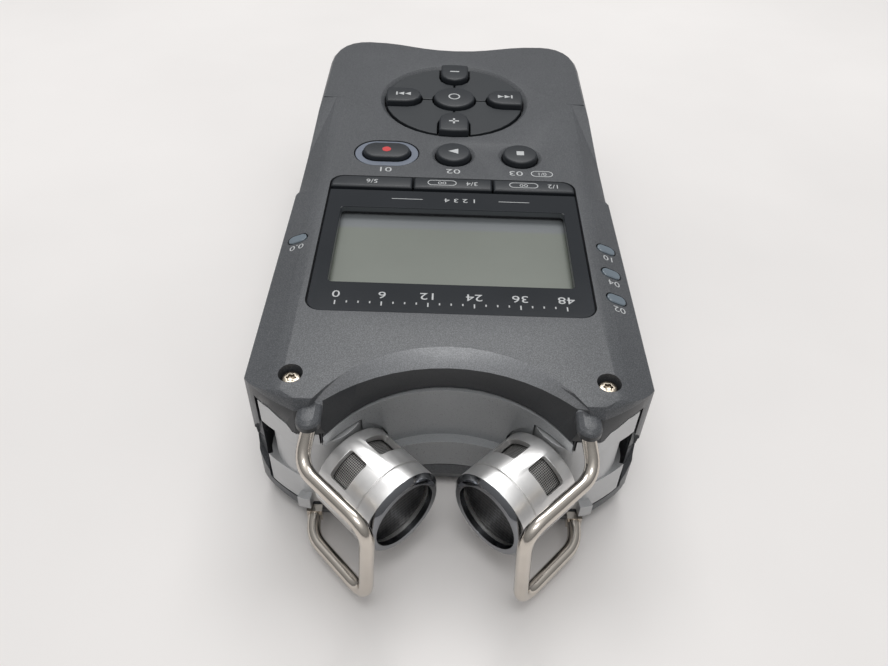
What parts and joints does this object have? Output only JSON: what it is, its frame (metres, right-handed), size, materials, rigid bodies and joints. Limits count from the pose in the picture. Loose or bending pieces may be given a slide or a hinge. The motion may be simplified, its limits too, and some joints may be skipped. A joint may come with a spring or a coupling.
{
  "type": "handheld digital recorder",
  "caption": "Handheld stereo recorder with swivelling microphone capsules in wire guards, display, key pad, side controls and battery bay.",
  "frame": {"origin": "middle of the overall box on the surface the recorder lies on, its back down", "axes": "+Z out of the display face, +Y from the microphones towards the socket end, +X to the right when the microphones point at the viewer"},
  "size_m": [0.07, 0.155, 0.035],
  "materials": {
    "casing_paint": "fine metallic speckle, satin",
    "frame_metal": "gunmetal satin",
    "nickel_wire": "polished nickel",
    "window": "clear cover over a black border",
    "lcd": "unlit reflective panel",
    "board": "solder mask",
    "mat": "moulded key mat",
    "light_ring": "translucent",
    "lens": "translucent",
    "steel": "plated",
    "jack_plastic": "moulded",
    "thread_brass": "turned",
    "cell_case": "printed sleeve",
    "silver": "satin plated",
    "dark_mesh": "woven mesh, blackened",
    "capsule": "satin",
    "key_plastic": "fine matt texture"
  },
  "bodies": {
    "casing": {"front_shell": "casing_paint", "rear_shell": "casing_paint", "chin_frame": "frame_metal", "guard_right": "nickel_wire", "guard_left": "nickel_wire", "display_window": "window", "lcd_panel": "lcd", "main_board": "board", "key_mat": "mat", "record_light_ring": "light_ring", "peak_lens": "lens", "status_lens_1": "lens", "status_lens_2": "lens", "status_lens_3": "lens", "face_screw_right": "steel", "back_screw_right": "steel", "pivot_pin_right": "steel", "combo_jack_right": "jack_plastic", "face_screw_left": "steel", "back_screw_left": "steel", "pivot_pin_left": "steel", "combo_jack_left": "jack_plastic", "phones_jack": "jack_plastic", "power_jack": "jack_plastic", "usb_port": "steel", "speaker": "jack_plastic", "tripod_nut": "thread_brass", "battery_cell_1": "cell_case", "battery_cell_2": "cell_case", "battery_cell_3": "cell_case", "contact_near": "steel", "contact_far": "steel"},
    "mic_right": {"mic_turret_right": "silver", "mic_barrel_right": "silver", "mic_mesh_right": "dark_mesh", "mic_capsule_right": "capsule"},
    "mic_left": {"mic_turret_left": "silver", "mic_barrel_left": "silver", "mic_mesh_left": "dark_mesh", "mic_capsule_left": "capsule"},
    "function_key_1_body": {"function_key_1": "key_plastic"},
    "function_key_2_body": {"function_key_2": "key_plastic"},
    "function_key_3_body": {"function_key_3": "key_plastic"},
    "record_key_body": {"record_key": "key_plastic"},
    "play_key_body": {"play_key": "key_plastic"},
    "stop_key_body": {"stop_key": "key_plastic"},
    "enter_key_body": {"enter_key": "key_plastic"},
    "right_key_body": {"right_key": "key_plastic"},
    "minus_key_body": {"minus_key": "key_plastic"},
    "left_key_body": {"left_key": "key_plastic"},
    "plus_key_body": {"plus_key": "key_plastic"},
    "plate_key_1_body": {"plate_key_1": "key_plastic"},
    "plate_key_2_body": {"plate_key_2": "key_plastic"},
    "plate_key_3_body": {"plate_key_3": "key_plastic"},
    "plate_key_4_body": {"plate_key_4": "key_plastic"},
    "volume_rocker_body": {"volume_rocker": "key_plastic"},
    "level_rocker_body": {"level_rocker": "key_plastic"},
    "hold_switch_body": {"hold_switch": "key_plastic"},
    "card_door_body": {"card_door": "casing_paint"},
    "battery_door_body": {"battery_door": "casing_paint"}
  },
  "joints": [
    {"name": "mic_right_swing", "type": "hinge", "parent": "casing", "child": "mic_right", "pos_m": [0.0231, -0.05065, 0.015], "axis": [0, 0, 1], "range_deg": [0, 90]},
    {"name": "mic_left_swing", "type": "hinge", "parent": "casing", "child": "mic_left", "pos_m": [-0.0231, -0.05065, 0.015], "axis": [0, 0, -1], "range_deg": [0, 90]},
    {"name": "function_key_1_press", "type": "slide", "parent": "casing", "child": "function_key_1_body", "axis": [0, 0, -1], "range_m": [0, 0.0005], "stiffness_N_per_m": 1500, "springref_m": -0.0002},
    {"name": "function_key_2_press", "type": "slide", "parent": "casing", "child": "function_key_2_body", "axis": [0, 0, -1], "range_m": [0, 0.0005], "stiffness_N_per_m": 1500, "springref_m": -0.0002},
    {"name": "function_key_3_press", "type": "slide", "parent": "casing", "child": "function_key_3_body", "axis": [0, 0, -1], "range_m": [0, 0.0005], "stiffness_N_per_m": 1500, "springref_m": -0.0002},
    {"name": "record_key_press", "type": "slide", "parent": "casing", "child": "record_key_body", "axis": [0, 0, -1], "range_m": [0, 0.0005], "stiffness_N_per_m": 1500, "springref_m": -0.0002},
    {"name": "play_key_press", "type": "slide", "parent": "casing", "child": "play_key_body", "axis": [0, 0, -1], "range_m": [0, 0.0005], "stiffness_N_per_m": 1500, "springref_m": -0.0002},
    {"name": "stop_key_press", "type": "slide", "parent": "casing", "child": "stop_key_body", "axis": [0, 0, -1], "range_m": [0, 0.0005], "stiffness_N_per_m": 1500, "springref_m": -0.0002},
    {"name": "enter_key_press", "type": "slide", "parent": "casing", "child": "enter_key_body", "axis": [0, 0, -1], "range_m": [0, 0.0005], "stiffness_N_per_m": 1500, "springref_m": -0.0002},
    {"name": "right_key_press", "type": "slide", "parent": "casing", "child": "right_key_body", "axis": [0, 0, -1], "range_m": [0, 0.0005], "stiffness_N_per_m": 1500, "springref_m": -0.0002},
    {"name": "minus_key_press", "type": "slide", "parent": "casing", "child": "minus_key_body", "axis": [0, 0, -1], "range_m": [0, 0.0005], "stiffness_N_per_m": 1500, "springref_m": -0.0002},
    {"name": "left_key_press", "type": "slide", "parent": "casing", "child": "left_key_body", "axis": [0, 0, -1], "range_m": [0, 0.0005], "stiffness_N_per_m": 1500, "springref_m": -0.0002},
    {"name": "plus_key_press", "type": "slide", "parent": "casing", "child": "plus_key_body", "axis": [0, 0, -1], "range_m": [0, 0.0005], "stiffness_N_per_m": 1500, "springref_m": -0.0002},
    {"name": "plate_key_1_press", "type": "slide", "parent": "casing", "child": "plate_key_1_body", "axis": [0, 0, -1], "range_m": [0, 0.0005], "stiffness_N_per_m": 1500, "springref_m": -0.0002},
    {"name": "plate_key_2_press", "type": "slide", "parent": "casing", "child": "plate_key_2_body", "axis": [0, 0, -1], "range_m": [0, 0.0005], "stiffness_N_per_m": 1500, "springref_m": -0.0002},
    {"name": "plate_key_3_press", "type": "slide", "parent": "casing", "child": "plate_key_3_body", "axis": [0, 0, -1], "range_m": [0, 0.0005], "stiffness_N_per_m": 1500, "springref_m": -0.0002},
    {"name": "plate_key_4_press", "type": "slide", "parent": "casing", "child": "plate_key_4_body", "axis": [0, 0, -1], "range_m": [0, 0.0005], "stiffness_N_per_m": 1500, "springref_m": -0.0002},
    {"name": "volume_rocker_tilt", "type": "hinge", "parent": "casing", "child": "volume_rocker_body", "pos_m": [0.0326, 0.01495, 0.0205], "axis": [0, 0, 1], "range_deg": [-2.5, 2.5], "stiffness_Nm_per_rad": 0.15},
    {"name": "level_rocker_tilt", "type": "hinge", "parent": "casing", "child": "level_rocker_body", "pos_m": [-0.0326, 0.01495, 0.0205], "axis": [0, 0, 1], "range_deg": [-2.5, 2.5], "stiffness_Nm_per_rad": 0.15},
    {"name": "hold_switch_slide", "type": "slide", "parent": "casing", "child": "hold_switch_body", "axis": [0, 1, 0], "range_m": [0, 0.003]},
    {"name": "card_door_hinge", "type": "hinge", "parent": "casing", "child": "card_door_body", "pos_m": [-0.0337, -0.01255, 0.0057], "axis": [0, -1, 0], "range_deg": [0, 100]},
    {"name": "battery_door_slide", "type": "slide", "parent": "casing", "child": "battery_door_body", "axis": [0, 1, 0], "range_m": [0, 0.0045]}
  ]
}
